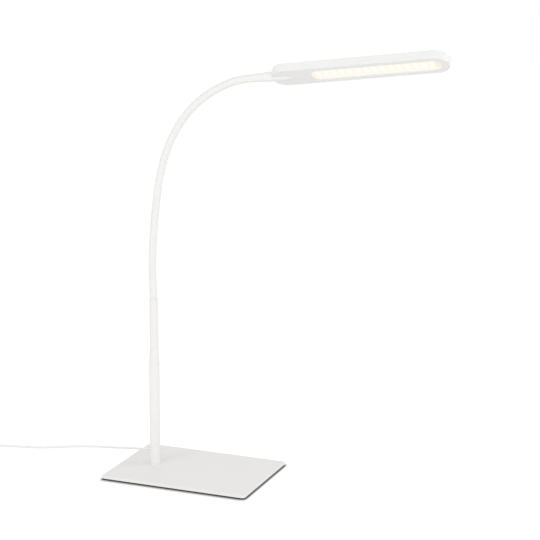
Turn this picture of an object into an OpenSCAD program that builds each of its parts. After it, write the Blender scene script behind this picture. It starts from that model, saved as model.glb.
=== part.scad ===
// Gooseneck desk lamp: flat base plate, tube stem, flexible neck, swivelling LED bar head,
// and a thin low-voltage lead with its wall adapter. Millimetres.
// Origin: the stem's axis where it meets the table. +X runs along the base towards the head, +Z up.

/* [Base] */
// Length of the base plate, along X
base_len = 180; // [165:1:220]
// Width of the base plate, along Y
base_w = 130; // [110:1:160]
// Thickness of the steel base plate
base_t = 3; // [2.5:0.1:5]
// Corner radius of the base plate, seen from above
base_corner = 4; // [2:0.5:12]
// Round on the plate's top edge
base_edge = 0.6; // [0.3:0.1:1]
// From the plate's back end to the stem's axis
stem_inset = 39; // [30:1:60]
// Thickness of the foam pad under the plate
pad_t = 1.5; // [1:0.1:3]
// How far the pad's edge stays inside the plate's
pad_inset = 0.4; // [0.2:0.1:2]
// Diameter of the countersunk screw that holds the stem
screw_d = 6; // [5:0.5:6.5]
// Length of that screw, with its head
screw_len = 13; // [10:0.5:18]

/* [Stem] */
// Outer diameter of the stem tube
stem_d = 12.3; // [11.5:0.1:15]
// Wall of the stem tube
stem_wall = 1; // [0.8:0.1:1.4]
// Length of the stem tube
stem_len = 121; // [90:1:180]
// Length of the steel plug in the tube's foot
plug_len = 12; // [9:0.5:13]
// Length of the threaded bush in the tube's top
bush_len = 15; // [12:0.5:20]
// Length of the cone between tube and ferrule
collar_len = 21; // [16:0.5:30]
// How far the cone's foot stands proud of the tube
collar_lip = 0.15; // [0.1:0.05:0.4]
// Diameter of the lower ferrule, which holds the neck
ferrule_d = 10.3; // [9.9:0.1:11.2]
// Length of the lower ferrule
ferrule_len = 58.5; // [40:0.5:80]
// Diameter of the threads that join tube, cone and ferrule
thread_d = 7; // [6:0.1:7.4]

/* [Neck] */
// Outer diameter of the soft sleeve
neck_d = 8.8; // [8.4:0.1:9.2]
// Wall of the soft sleeve
sleeve_wall = 0.8; // [0.6:0.05:0.9]
// Diameter of the steel bending hose inside it
hose_d = 5; // [4.6:0.1:5.2]
// Bore of the bending hose, where the wires pass
hose_bore = 2.8; // [2.4:0.1:3.4]
// Length of each link in the lower part
lower_link = 34; // [26:0.1:40]
// Length of each link in the upper part
upper_link = 22.2; // [16:0.1:26]
// Length of the last link, which holds the cone ferrule
tip_link = 15.6; // [11:0.1:19]
// Lean of the neck where it leaves the ferrule, in degrees
neck_lean = -2.9; // [-5:0.1:5]

/* [Swivel] */
// Length of the cone ferrule at the neck's top
tip_len = 14.5; // [12:0.1:20]
// Gap between the cone ferrule and the head's boss
swivel_gap = 0.2; // [0.15:0.05:0.8]
// Diameter of the hollow stud that the head turns on
stud_d = 5.2; // [4.6:0.1:5.6]
// Bore of that stud, where the wires pass
stud_bore = 3; // [2.6:0.1:3.4]

/* [Head] */
// Length of the head
head_len = 201.5; // [190:0.5:240]
// Width of the head
head_w = 30.6; // [28:0.1:38]
// Thickness of the head
head_t = 10.1; // [9.4:0.1:11]
// Side wall of the head's shell
head_wall = 1.4; // [1:0.1:1.8]
// Roof of the head's shell
head_roof = 1.4; // [1:0.1:1.6]
// Round on the head's top edge
head_edge = 1; // [0.5:0.1:1.3]
// Roll of the head about the neck's end, in degrees
head_roll = 35; // [-60:1:60]
// Diameter of the boss that joins the head to the neck
boss_d = 10.7; // [10.6:0.1:11.2]
// Length of the boss outside the head
boss_out = 9.6; // [8:0.1:20]
// Length of the boss inside the head
boss_in = 25; // [20:0.1:26]
// From the head's neck end to the light window
window_start = 46; // [42:0.5:60]
// Width of the light window
window_w = 17.6; // [14:0.1:19]
// From the window to the head's free end
window_end = 8; // [7.5:0.5:10]
// Thickness of the head's bottom cover, which is the window's depth
cover_t = 1.5; // [1.2:0.1:1.8]
// Thickness of the frosted diffuser
diffuser_t = 1.2; // [0.8:0.1:1.4]
// Spacing of the LEDs along the window
led_pitch = 9.2; // [7:0.1:9.4]
// From the window's start to the first LED
led_start = 8; // [4:0.5:20]
// Least length of the window beyond the last LED
led_margin = 7.5; // [4:0.5:20]
// Diameter of the touch key on the head's roof
key_d = 8; // [6:0.5:9]

/* [Lead] */
// Diameter of the lead
cord_d = 2.4; // [2:0.1:2.4]
// Height of the lead's outlet above the table
outlet_z = 21.5; // [20.5:0.5:24]
// Mean diameter of the wound coil
coil_d = 27.5; // [26:0.5:29]

/* [Adapter] */
// Length of the wall adapter's case
adapter_len = 52; // [46:1:60]
// Width of the case, across the pins
adapter_w = 36; // [34:1:42]
// Height of the case as it lies
adapter_h = 27; // [24:1:32]
// Wall of the case
adapter_wall = 1.8; // [1.2:0.1:2.4]
// Diameter of the contact pins
pin_d = 4; // [3.6:0.1:4.8]
// Length of the contact pins outside the case
pin_len = 19; // [16:0.5:20]
// Spacing of the contact pins
pin_pitch = 19; // [17:0.5:20]

/* [Hidden] */
$fn = 48;
// Gap between fixed pieces, between turning pieces, and round each ball of the neck
fit_gap = 0.05;
turn_gap = 0.05;
ball_gap = 0.2;
bite = 1;                     // extra length of a cut, so that it breaks the surface

// Base and stem
plate_z = pad_t;
plate_top = pad_t + base_t;
head_rise = base_t - 0.2;     // height of the screw's countersunk head
screw_head_r = screw_d/2 + head_rise;
stem_r = stem_d/2;
tube_bore = stem_r - stem_wall;
stem_top = plate_top + stem_len;
collar_top = stem_top + collar_len;
ferrule_top = collar_top + ferrule_len;
ferrule_r = ferrule_d/2;
thread_r = thread_d/2;
tail_len = 10.5;              // threaded tails of the cone and the lower ferrule
lead_bore = cord_d/2 + 0.4;
seam = 0.3;                   // chamfer that draws each joint line

// Lead outlet: a small bush pressed into the tube's back
outlet_r = 2;
outlet_len = 4.85;            // how far the bush stands out of the tube
ring_r = 2.35;
ring_at = 1.85;               // from the tube to the bush's ring
ring_t = 1;

// Neck: straight links, each with a ball at its foot and a cup for the next link's ball
lower_links = 5;
upper_links = 6;
links = lower_links + upper_links + 1;
link_bends = [5.2, 3.2, 1.8, 6.8, 9.7, 7.3, 8.5, 10.8, 9.5, 8.5, 14.7];  // link to link, at rest
neck_r = neck_d/2;
ball_back = 1.8;              // how far a ball reaches back past its centre
neck_z = ferrule_top + 1;     // centre of the first ball
tip_spigot = 4.8;             // the cone ferrule's tail inside the sleeve

function link_len(k) = k < lower_links ? lower_link : k < links - 1 ? upper_link : tip_link;
function lean(k) = k == 0 ? neck_lean : lean(k - 1) + link_bends[k - 1];
function pivot(k) = k == 0 ? [0, neck_z]
    : pivot(k - 1) + link_len(k - 1)*[sin(lean(k - 1)), cos(lean(k - 1))];

// Head: X along it, Z up through its thickness, origin on the swivel's axis
axis_h = 3.8;                 // swivel axis above the head's underside
roof_z = head_t - head_roof;  // underside of the roof, above the head's underside
head_at = tip_len + swivel_gap + boss_out;
boss_r = boss_d/2;
boss_taper = 9.7;             // length of the boss's pointed end
stud_r = stud_d/2;
stud_hold = 9;                // how deep the stud sits in the cone ferrule
pocket_at = 2;                // pocket for the washer and the nut, inside the head
pocket_len = 10;
pocket_r = stud_r + 1.3;
washer_t = 0.6;
nut_t = 3;
cover_gap = 0.1;
lip_w = 1.2;                  // how far the diffuser laps the window's edge
window_len = head_len - window_start - window_end;
window_mid = window_start + window_len/2;
led_count = floor((window_len - led_start - led_margin)/led_pitch) + 1;
led_l = 3;
led_w = 5.7;
led_t = 0.8;
strip_t = 1;
strip_w = 14;
strip_inset = 2.4;            // from each end of the window to the LED strip
spreader_t = 0.8;
spreader_side = 1.2;          // from the shell's wall to the spreader
spreader_w = head_w - 2*(head_wall + spreader_side);
spreader_len = head_len - head_w/2 + 5 - window_start;
light_room = 4.7;             // from the cover to the spreader
spreader_z = cover_t + light_room;
post_r = 0.8;
post_inset = 1.2;
board_x = boss_in + 1.3;
board_len = window_start - lip_w - board_x - 0.8;
board_w = 18;
board_t = 1;
board_z = axis_h - board_t;   // so that the wires on the board meet the stud's bore
key_x = board_x + board_len/2 + 1;
key_flange = 0.8;
dish_r = 15;                  // hollow in the touch key's top
dish_depth = 0.3;
wire_r = 0.5;

// Adapter
adapter_at = [-214, -80];     // middle of the case's back face, on the table
adapter_round = 4;
face_t = 2.5;
relief_len = 20;
relief_r = 4;
pin_root = 6;                 // how deep each pin sits in the face, on a thinner stem
pin_stem_d = 3;
pin_step = 0.3;               // from the face to where a pin has its full diameter
board_end = 10;               // from each end of the case to its board
transformer = [14, 13, 12];
capacitor = [8, 10, 9];

// Lead: what lies free, from the outlet to the coil and from the coil to the adapter
cord_r = cord_d/2;
coil_at = [-238, -28];
turns_wide = 3;               // turns side by side in a layer; the spiral's step takes one more width
turns_high = 6;               // layers of turns
coil_w = (turns_wide + 1)*cord_d;
coil_h = turns_high*cord_d;
tie_t = 0.5;
tie_w = 6;
tie_gap = 0.1;
coil_r = coil_d/2;
outlet_x = -stem_r - outlet_len;
run_points = [
    [outlet_x, 0, outlet_z], [-15, 0.2, 20.6], [-20, 2.2, 19.3], [-27, 6.8, 17.4], [-36, 13.2, 14.7],
    [-46, 20.2, 11.4], [-57, 27.4, 7.9], [-68, 34, 4.8], [-79, 38.8, 2.4], [-91, 40, 1.2],
    [-102, 37, 1.2], [-113, 33, 1.2], [-124, 28, 1.2], [-134, 22.8, 1.2], [-145, 16, 1.2],
    [-156, 10.4, 1.2], [-167, 6.4, 1.2], [-179, 3.4, 1.2], [-191, 1, 1.2], [-203, -2, 1.2],
    [-215, -5.6, 1.2], [-226, -9, 1.4], [-238, -10.7, 1.7]
];
tail_points = [
    [-238, -44.1, 13.7], [-231.5, -43.8, 13.5], [-225, -44, 13.1], [-219.5, -45.5, 12.8],
    [-215.5, -49.5, 12.8], [-214, -55, 13.2], [-214, -60, 13.5]
];

// ---- shared shapes ----

module ring(r, bore, h) {
    difference() {
        cylinder(r = r, h = h);
        translate([0, 0, -bite]) cylinder(r = bore, h = h + 2*bite);
    }
}

// Half section of a slab edge: r out from the turning axis, t high, rounded at the top
module edge_section(r, t, round) {
    square([r, t - round]);
    square([r - round, t]);
    translate([r - round, t - round]) circle(r = round);
}

// Slab with rounded corners and a rounded top edge, centred on the origin
module slab(l, w, t, corner, round) {
    cx = l/2 - corner;
    cy = w/2 - corner;
    translate([-cx, -cy, 0]) cube([2*cx, 2*cy, t]);
    for (a = [0, 90, 180, 270]) {
        px = a == 0 || a == 270 ? cx : -cx;
        py = a < 180 ? cy : -cy;
        run = a % 180 == 0 ? 2*cy : 2*cx;
        translate([px, py, 0]) rotate([0, 0, a]) {
            rotate_extrude(angle = 90) edge_section(corner, t, round);
            rotate([90, 0, 0]) linear_extrude(run) edge_section(corner, t, round);
        }
    }
}

// Outline with two half-round ends, from x0 along X
module stadium(x0, l, w) {
    translate([x0 + w/2, -w/2]) square([l - w, w]);
    for (x = [x0 + w/2, x0 + l - w/2]) translate([x, 0]) circle(d = w, $fn = 96);
}

// Bar on that outline with its top edge rounded
module bar(l, w, t, round) {
    for (side = [0, 1]) {
        translate([side == 0 ? w/2 : l - w/2, 0, 0]) rotate([0, 0, 90 - 180*side]) {
            rotate_extrude(angle = 180, $fn = 96) edge_section(w/2, t, round);
            rotate([90, 0, 0]) linear_extrude(l - w) edge_section(w/2, t, round);
        }
    }
}

// One round tube swept along a list of points
function unit(v) = v/norm(v);
function heading(p, i) = unit(p[min(i + 1, len(p) - 1)] - p[max(i - 1, 0)]);
function side_of(t) = unit(cross([0, 0, 1], t));
function hoop(c, t, r, n) = [
    for (j = [0 : n - 1]) c + r*(cos(360*j/n)*side_of(t) + sin(360*j/n)*cross(t, side_of(t)))
];

module swept_tube(p, r, n) {
    last = len(p) - 1;
    rings = [for (i = [0 : last]) each hoop(p[i], heading(p, i), r, n)];
    walls = [
        for (i = [0 : last - 1]) for (j = [0 : n - 1])
            [i*n + j, i*n + (j + 1) % n, (i + 1)*n + (j + 1) % n, (i + 1)*n + j]
    ];
    caps = [[for (j = [n - 1 : -1 : 0]) j], [for (j = [0 : n - 1]) last*n + j]];
    faces = [for (f = concat(walls, caps)) [for (i = [len(f) - 1 : -1 : 0]) f[i]]];
    polyhedron(points = rings, faces = faces);
}

// Points of a smooth curve through p, so that the swept tube has a ring every few millimetres
function bowed(a, b, c, d, t) = 0.5*(2*b + (c - a)*t + (2*a - 5*b + 4*c - d)*t*t + (3*b - a - 3*c + d)*t*t*t);
function smooth(p, n) = [
    for (i = [0 : len(p) - 2]) for (s = [0 : n - 1])
        bowed(p[max(i - 1, 0)], p[i], p[i + 1], p[min(i + 2, len(p) - 1)], s/n),
    p[len(p) - 1]
];

// ---- places ----

module at_link(k) {
    translate([pivot(k)[0], 0, pivot(k)[1]]) rotate([0, lean(k), 0]) children();
}

module at_tip() {
    at_link(links - 1) translate([0, 0, tip_link]) children();
}

module at_head() {
    at_tip() translate([0, 0, head_at]) rotate([0, -90, 0]) rotate([-head_roll, 0, 0]) children();
}

module in_head() {
    at_head() translate([0, 0, -axis_h]) children();
}

module at_adapter() {
    translate([adapter_at[0], adapter_at[1], adapter_h/2]) rotate([90, 0, 0]) children();
}

// ---- base ----

module plate_place() {
    translate([base_len/2 - stem_inset, 0, 0]) children();
}

module base_plate() {
    color("white") difference() {
        plate_place() translate([0, 0, plate_z]) slab(base_len, base_w, base_t, base_corner, base_edge);
        translate([0, 0, -bite]) cylinder(d = screw_d + 0.4, h = plate_top + 2*bite);
        translate([0, 0, plate_z]) screw_head(fit_gap);
    }
}

module base_pad() {
    color("dimgray") difference() {
        plate_place() linear_extrude(pad_t) pad_outline();
        translate([0, 0, -bite]) cylinder(r = screw_head_r + 1.5, h = pad_t + 2*bite);
    }
}

module pad_outline() {
    l = base_len - 2*pad_inset;
    w = base_w - 2*pad_inset;
    square([l - 2*base_corner, w], center = true);
    square([l, w - 2*base_corner], center = true);
    for (x = [-1, 1], y = [-1, 1])
        translate([x*(l/2 - base_corner), y*(w/2 - base_corner)]) circle(r = base_corner);
}

module screw_head(grow) {
    cylinder(r1 = screw_head_r + grow, r2 = screw_d/2 + grow, h = head_rise);
}

module base_screw() {
    color("silver") translate([0, 0, plate_z]) difference() {
        union() {
            screw_head(0);
            cylinder(d = screw_d, h = screw_len);
        }
        translate([0, 0, -bite]) cylinder(d = 4.6, h = bite + 2, $fn = 6);
    }
}

// ---- stem ----

module stem_plug() {
    color("silver") translate([0, 0, plate_top]) ring(tube_bore - fit_gap, screw_d/2 + fit_gap, plug_len);
}

module stem_tube() {
    color("white") difference() {
        translate([0, 0, plate_top]) ring(stem_r, tube_bore, stem_len);
        translate([0, 0, outlet_z]) rotate([0, -90, 0]) cylinder(r = outlet_r + fit_gap, h = stem_d);
    }
}

module lead_outlet() {
    inside = tube_bore - fit_gap;
    ring_x = stem_r + ring_at;
    color("whitesmoke") translate([0, 0, outlet_z]) rotate([0, -90, 0]) rotate_extrude() polygon([
        [cord_d/2 + fit_gap, inside], [outlet_r, inside], [outlet_r, stem_r + 0.4],
        [outlet_r - 0.3, ring_x],
        [ring_r, ring_x], [ring_r, ring_x + ring_t], [1.8, ring_x + ring_t], [1.5, stem_r + outlet_len],
        [cord_d/2 + fit_gap, stem_r + outlet_len]
    ]);
}

module stem_bush() {
    color("silver") translate([0, 0, stem_top - bush_len])
        ring(tube_bore - fit_gap, thread_r + fit_gap, bush_len);
}

module stem_collar() {
    foot = stem_r + collar_lip;
    top = ferrule_r + 0.05;
    socket = collar_len - tail_len - bite;
    color("white") translate([0, 0, stem_top]) rotate_extrude() polygon([
        [lead_bore, -tail_len], [thread_r, -tail_len], [thread_r, 0], [foot - seam, 0], [foot, seam],
        [top, collar_len - seam], [top - seam, collar_len], [thread_r + fit_gap, collar_len],
        [thread_r + fit_gap, socket], [lead_bore, socket]
    ]);
}

module lower_ferrule() {
    color("white") difference() {
        translate([0, 0, collar_top]) rotate_extrude() polygon([
            [lead_bore, -tail_len], [thread_r, -tail_len], [thread_r, 0], [ferrule_r - seam, 0],
            [ferrule_r, seam], [ferrule_r, ferrule_len - seam], [ferrule_r - seam, ferrule_len],
            [lead_bore, ferrule_len]
        ]);
        translate([0, 0, neck_z]) sphere(r = neck_r + ball_gap);
    }
}

module stem_lead() {
    bend = tube_bore - 0.35;
    rise = outlet_z + bend;
    color("whitesmoke") {
        translate([-bend, 0, outlet_z]) rotate([0, -90, 0]) cylinder(r = cord_r, h = -outlet_x - bend);
        translate([-bend, 0, rise]) rotate([90, 0, 0]) rotate([0, 0, -90])
            rotate_extrude(angle = 90) translate([bend, 0]) circle(r = cord_r, $fn = 24);
        translate([0, 0, rise]) cylinder(r = cord_r, h = ferrule_top - 6 - rise);
    }
}

// ---- neck ----

module neck_link(k, r, bore, l) {
    at_link(k) rotate_extrude() difference() {
        union() {
            translate([bore, 0]) square([r - bore, l]);
            intersection() {
                circle(r = r);
                translate([bore, -ball_back]) square([r - bore, ball_back]);
            }
        }
        if (k < links - 1) translate([0, l]) circle(r = r + ball_gap);
    }
}

module neck_sleeve(k) {
    color("white") neck_link(k, neck_r, neck_r - sleeve_wall, link_len(k));
}

module neck_hose(k) {
    l = k < links - 1 ? link_len(k) : tip_link - tip_spigot - 0.2;
    color("darkgray") neck_link(k, hose_d/2, hose_bore/2, l);
}

module upper_ferrule() {
    wide = boss_r - 0.45;
    seat = tip_len - stud_hold;
    spigot_r = neck_r - sleeve_wall - fit_gap;
    color("white") at_tip() rotate_extrude() polygon([
        [stud_bore/2, -tip_spigot], [spigot_r, -tip_spigot], [spigot_r, 0], [neck_r - 0.1, 0],
        [neck_r, 0.2], [wide, tip_len - seam], [wide - seam, tip_len], [stud_r + fit_gap, tip_len],
        [stud_r + fit_gap, seat], [stud_bore/2, seat]
    ]);
}

// ---- swivel ----

module swivel_stud() {
    foot = tip_len - stud_hold;
    color("silver") at_tip() translate([0, 0, foot])
        ring(stud_r, stud_bore/2, head_at + pocket_at + washer_t + nut_t + 1.5 - foot);
}

module on_swivel(x) {
    at_tip() translate([0, 0, head_at + x]) children();
}

module swivel_washer() {
    color("silver") on_swivel(pocket_at + turn_gap) ring(pocket_r - 0.2, stud_r + fit_gap, washer_t);
}

module swivel_nut() {
    color("silver") on_swivel(pocket_at + turn_gap + washer_t) difference() {
        cylinder(r = pocket_r - 0.1, h = nut_t, $fn = 6);
        translate([0, 0, -bite]) cylinder(r = stud_r + fit_gap, h = nut_t + 2*bite);
    }
}

// ---- head ----

module along_head(x) {
    translate([x, 0, 0]) rotate([0, 90, 0]) children();
}

// The boss's outside: a cylinder that ends in a slow taper, so that it meets the underside in a point
module boss_body(grow) {
    tip = axis_h + 0.03 + grow;
    r = boss_r + grow;
    along_head(-boss_out) rotate_extrude() polygon([
        [0, 0], [r - seam, 0], [r, seam], [r, boss_out + boss_in - boss_taper],
        [tip, boss_out + boss_in], [0, boss_out + boss_in]
    ]);
}

module head_boss() {
    color("white") at_head() difference() {
        boss_body(0);
        translate([0, 0, roof_z - axis_h]) linear_extrude(head_t)
            stadium(-fit_gap, head_len, head_w + 2*fit_gap);
        along_head(-boss_out - bite) cylinder(r = stud_r + turn_gap, h = boss_out + pocket_at + 2*bite);
        along_head(pocket_at) cylinder(r = pocket_r, h = pocket_len);
        translate([pocket_at, -pocket_r, 0]) cube([pocket_len, 2*pocket_r, head_t]);
        along_head(pocket_at) cylinder(r = stud_bore/2, h = boss_in);
    }
}

module head_shell() {
    hollow_w = head_w - 2*head_wall;
    color("white") in_head() {
        difference() {
            bar(head_len, head_w, head_t, head_edge);
            translate([0, 0, -bite]) linear_extrude(roof_z + bite)
                stadium(head_wall, head_len - 2*head_wall, hollow_w);
            intersection() {
                translate([0, 0, axis_h]) boss_body(fit_gap);
                translate([-head_w, -head_w, -head_t]) cube([head_len, 2*head_w, head_t + roof_z]);
            }
            translate([key_x, 0, 0]) cylinder(d = key_d + 0.2, h = head_t + bite);
        }
        for (y = [-1, 1]) translate([window_start + 4, y*spreader_w/3 - 0.5, spreader_z + spreader_t])
            cube([window_len - 8, 1, roof_z - spreader_z - spreader_t]);
    }
}

module cover_outline() {
    stadium(head_wall + cover_gap, head_len - 2*(head_wall + cover_gap), head_w - 2*(head_wall + cover_gap));
}

module bottom_cover() {
    post_y = spreader_w/2 - post_inset;
    color("white") in_head() {
        difference() {
            linear_extrude(cover_t) cover_outline();
            translate([0, 0, -bite]) linear_extrude(cover_t + 2*bite)
                stadium(window_start, window_len, window_w);
            translate([0, 0, axis_h]) boss_body(2*fit_gap);
        }
        for (x = [-1, 0, 1], y = [-1, 1])
            translate([window_mid + x*window_len*0.4, y*post_y, cover_t])
                cylinder(r = post_r, h = spreader_z - cover_t);
        for (x = [1.5, board_len - 1.5], y = [-1, 1])
            translate([board_x + x, y*(board_w/2 - 1.5), cover_t])
                cylinder(r = post_r, h = board_z - cover_t);
    }
}

module diffuser() {
    color("lightyellow") in_head() translate([0, 0, cover_t]) linear_extrude(diffuser_t)
        stadium(window_start - lip_w, window_len + 2*lip_w, window_w + 2*lip_w);
}

module led_strip() {
    color("ivory") in_head() translate([window_mid, 0, spreader_z - strip_t/2])
        cube([window_len - 2*strip_inset, strip_w, strip_t], center = true);
}

module led_chips() {
    first = window_start + led_start;
    color("khaki") in_head() for (i = [0 : led_count - 1])
        translate([first + i*led_pitch, 0, spreader_z - strip_t - led_t/2])
            cube([led_l, led_w, led_t], center = true);
}

module heat_spreader() {
    color("silver") in_head() translate([window_start, -spreader_w/2, spreader_z])
        cube([spreader_len, spreader_w, spreader_t]);
}

module control_board() {
    color("seagreen") in_head() translate([board_x, -board_w/2, board_z]) cube([board_len, board_w, board_t]);
}

module control_parts() {
    color("black") in_head() translate([board_x, 0, board_z + board_t]) {
        translate([board_len/2 - 1.5, -7.8, 0]) cube([5, 4, 1.2]);
        translate([1.5, 4.2, 0]) cube([3.2, 2.5, 1.1]);
        for (x = [0.4, 0.6]) translate([x*board_len, 5.2, 0]) cube([2, 1.25, 0.6]);
        translate([1.6, -7.2, 0]) cube([2.6, 3.4, 1]);
    }
}

// Coil spring that carries the touch signal from the board to the key
module touch_spring() {
    low = board_z + board_t + 0.3;
    high = roof_z - key_flange - 0.3;
    turns = 3;
    steps = 12;
    color("gold") in_head() translate([key_x, 0, 0]) swept_tube([
        for (i = [0 : turns*steps])
            [2*cos(360*i/steps), 2*sin(360*i/steps), low + (high - low)*i/(turns*steps)]
    ], 0.25, 6);
}

module touch_key() {
    top = key_flange + head_roof - 0.1;
    color("gainsboro") in_head() translate([key_x, 0, roof_z - key_flange]) difference() {
        union() {
            cylinder(d = key_d + 2, h = key_flange);
            cylinder(d = key_d, h = top);
        }
        translate([0, 0, top + dish_r - dish_depth]) sphere(r = dish_r, $fn = 96);
    }
}

module head_lead() {
    color("red") in_head() for (y = [-1, 1])
        translate([1, 0.8*y, board_z + board_t + wire_r]) rotate([0, 90, 0])
            cylinder(r = wire_r, h = board_x + 3, $fn = 24);
}

// ---- lead and adapter ----

module cord_run() {
    color("whitesmoke") swept_tube(smooth(run_points, 2), cord_r, 8);
}

module cord_tail() {
    color("whitesmoke") swept_tube(smooth(tail_points, 2), cord_r, 8);
}

module cord_coil() {
    color("whitesmoke") translate([coil_at[0], coil_at[1], tie_t])
        rotate_extrude() translate([coil_r - coil_w/2, 0]) square([coil_w, coil_h]);
}

module cord_tie() {
    inner_w = coil_w + 2*tie_gap;
    color("white") translate([coil_at[0], coil_at[1], 0]) rotate([0, 0, 200])
        rotate_extrude(angle = tie_w*180/(PI*coil_r)) translate([coil_r, 0]) difference() {
            translate([-inner_w/2 - tie_t, 0]) square([inner_w + 2*tie_t, coil_h + 2*tie_t + tie_gap]);
            translate([-inner_w/2, tie_t]) square([inner_w, coil_h + tie_gap]);
        }
}

module case_outline(grow) {
    w = adapter_w + 2*grow;
    h = adapter_h + 2*grow;
    r = adapter_round + grow;
    square([w - 2*r, h], center = true);
    square([w, h - 2*r], center = true);
    for (x = [-1, 1], y = [-1, 1]) translate([x*(w/2 - r), y*(h/2 - r)]) circle(r = r);
}

module adapter_case() {
    color("white") at_adapter() difference() {
        linear_extrude(adapter_len - face_t) case_outline(0);
        translate([0, 0, adapter_wall]) linear_extrude(adapter_len) case_outline(-adapter_wall);
        translate([0, 0, -bite]) cylinder(r = relief_r + fit_gap, h = adapter_wall + 2*bite);
    }
}

module adapter_face() {
    lip = 2;
    color("white") at_adapter() translate([0, 0, adapter_len - face_t]) difference() {
        union() {
            linear_extrude(face_t) case_outline(0);
            translate([0, 0, -lip]) linear_extrude(lip) case_outline(-adapter_wall - fit_gap);
        }
        for (x = [-1, 1]) translate([x*pin_pitch/2, 0, -lip - bite])
            cylinder(d = pin_stem_d + 2*fit_gap, h = face_t + lip + 2*bite);
    }
}

module adapter_pins() {
    color("silver") at_adapter() for (x = [-1, 1]) translate([x*pin_pitch/2, 0, adapter_len]) {
        translate([0, 0, -pin_root]) cylinder(d = pin_stem_d, h = pin_root + pin_len/2);
        translate([0, 0, pin_step]) cylinder(d = pin_d, h = pin_len - pin_d/2 - pin_step);
        translate([0, 0, pin_len - pin_d/2]) sphere(d = pin_d);
    }
}

module adapter_relief() {
    inner = adapter_wall + 1.5;
    color("whitesmoke") at_adapter() rotate_extrude() polygon([
        [cord_r + fit_gap, -relief_len], [cord_r + 0.8, -relief_len], [relief_r, 0], [relief_r, inner],
        [cord_r + fit_gap, inner]
    ]);
}

module adapter_board() {
    low = adapter_wall + 1.2 - adapter_h/2;
    board = [adapter_w - 2*adapter_wall - 3, 1.6, adapter_len - 2*board_end];
    color("seagreen") at_adapter() translate([0, low + board[1]/2, adapter_len/2 - 1]) {
        cube(board, center = true);
        translate([-4, (board[1] + transformer[1])/2, -4]) cube(transformer, center = true);
        translate([8, (board[1] + capacitor[1])/2, 6]) cube(capacitor, center = true);
    }
}

base_plate();
base_pad();
base_screw();
stem_plug();
stem_tube();
lead_outlet();
stem_bush();
stem_collar();
lower_ferrule();
stem_lead();
for (k = [0 : links - 1]) neck_sleeve(k);
for (k = [0 : links - 1]) neck_hose(k);
upper_ferrule();
swivel_stud();
swivel_washer();
swivel_nut();
head_boss();
head_shell();
bottom_cover();
diffuser();
led_strip();
led_chips();
heat_spreader();
control_board();
control_parts();
touch_spring();
touch_key();
head_lead();
cord_run();
cord_coil();
cord_tail();
cord_tie();
adapter_case();
adapter_face();
adapter_pins();
adapter_relief();
adapter_board();
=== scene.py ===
from math import acos, atan2, cos, floor, pi, radians, sin, tan

import bmesh
import bpy
from mathutils import Matrix, Vector
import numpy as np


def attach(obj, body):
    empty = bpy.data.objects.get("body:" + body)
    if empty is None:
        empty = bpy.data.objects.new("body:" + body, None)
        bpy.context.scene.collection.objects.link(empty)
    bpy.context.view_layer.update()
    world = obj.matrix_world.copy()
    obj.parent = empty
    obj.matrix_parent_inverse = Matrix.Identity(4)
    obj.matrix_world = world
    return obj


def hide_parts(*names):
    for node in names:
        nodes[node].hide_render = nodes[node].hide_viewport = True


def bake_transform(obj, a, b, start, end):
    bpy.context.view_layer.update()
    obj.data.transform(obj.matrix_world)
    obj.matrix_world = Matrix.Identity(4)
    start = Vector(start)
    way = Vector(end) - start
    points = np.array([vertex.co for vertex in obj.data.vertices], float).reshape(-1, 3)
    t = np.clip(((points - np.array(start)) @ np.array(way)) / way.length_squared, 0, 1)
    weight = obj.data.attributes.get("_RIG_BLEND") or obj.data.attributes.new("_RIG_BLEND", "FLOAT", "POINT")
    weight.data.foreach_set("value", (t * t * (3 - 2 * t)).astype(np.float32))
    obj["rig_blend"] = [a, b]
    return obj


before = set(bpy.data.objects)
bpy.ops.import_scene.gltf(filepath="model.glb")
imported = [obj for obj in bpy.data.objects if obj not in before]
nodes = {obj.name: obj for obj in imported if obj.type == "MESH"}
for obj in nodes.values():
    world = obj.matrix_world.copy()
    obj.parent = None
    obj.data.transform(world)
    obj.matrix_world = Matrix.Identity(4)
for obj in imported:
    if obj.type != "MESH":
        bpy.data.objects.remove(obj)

# Sizes below are millimetres unless a name or a note says otherwise; mm turns them into Blender's metres.
mm = 0.001
fit = 0.05                          # clearance round a piece that is pushed or screwed into another
crisp, fine, soft = 0.1, 0.2, 0.3   # radii of the small corners
scene = bpy.context.scene
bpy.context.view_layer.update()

# Camera
camera = {
    "place": (810.1, -1697.0, 646.2),
    "lens": 110.43,
    "sensor": 36,
    "heading": 21.401,  # degrees, from looking along +Y towards -X
    "dip": 12.213,      # degrees below the horizon
    "roll": 0.351,      # degrees
    "nearest": 0.05,    # metres
    "farthest": 50,     # metres
}

cameraData = bpy.data.cameras.new("camera")
cameraData.lens = camera["lens"]
cameraData.sensor_width = camera["sensor"]
cameraData.clip_start = camera["nearest"]
cameraData.clip_end = camera["farthest"]
cameraPiece = bpy.data.objects.new("camera", cameraData)
cameraPiece.matrix_world = (
    Matrix.Translation(Vector(camera["place"]) * mm)
    @ Matrix.Rotation(radians(camera["heading"]), 4, "Z")
    @ Matrix.Rotation(radians(90 - camera["dip"]), 4, "X")
    @ Matrix.Rotation(radians(camera["roll"]), 4, "Z")
)
scene.collection.objects.link(cameraPiece)
scene.camera = cameraPiece


# Shape tools that the pieces share
def shifted(x, y, z):
    return Matrix.Translation(Vector((x, y, z)) * mm)


def turned(degrees, axis):
    return Matrix.Rotation(radians(degrees), 4, axis)


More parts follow.
